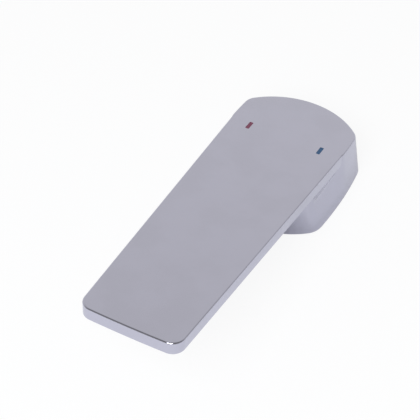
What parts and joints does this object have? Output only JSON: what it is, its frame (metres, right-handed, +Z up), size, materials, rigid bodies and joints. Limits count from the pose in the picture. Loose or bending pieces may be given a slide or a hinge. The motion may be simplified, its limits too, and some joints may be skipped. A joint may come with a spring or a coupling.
{
  "type": "tap handle",
  "caption": "Single-lever mixer tap handle: a flat tapered lever on a hollow hub with a square spindle socket, a grub screw behind a plug, and red and blue marks.",
  "frame": {"origin": "on the spindle axis, in the plane of the hub's rim", "axes": "+Z up the spindle axis out of the hub, -Y along the lever towards its front, +X to the side of the blue mark"},
  "size_m": [0.0474, 0.1321, 0.045],
  "materials": {
    "chrome_plate": "polished",
    "screw_steel": "satin",
    "plug_plastic": "gloss",
    "red_enamel": "gloss",
    "blue_enamel": "gloss"
  },
  "bodies": {
    "root": {"lever_body": "chrome_plate", "grub_screw": "screw_steel", "screw_plug": "plug_plastic", "hot_mark": "red_enamel", "cold_mark": "blue_enamel"}
  },
  "joints": []
}
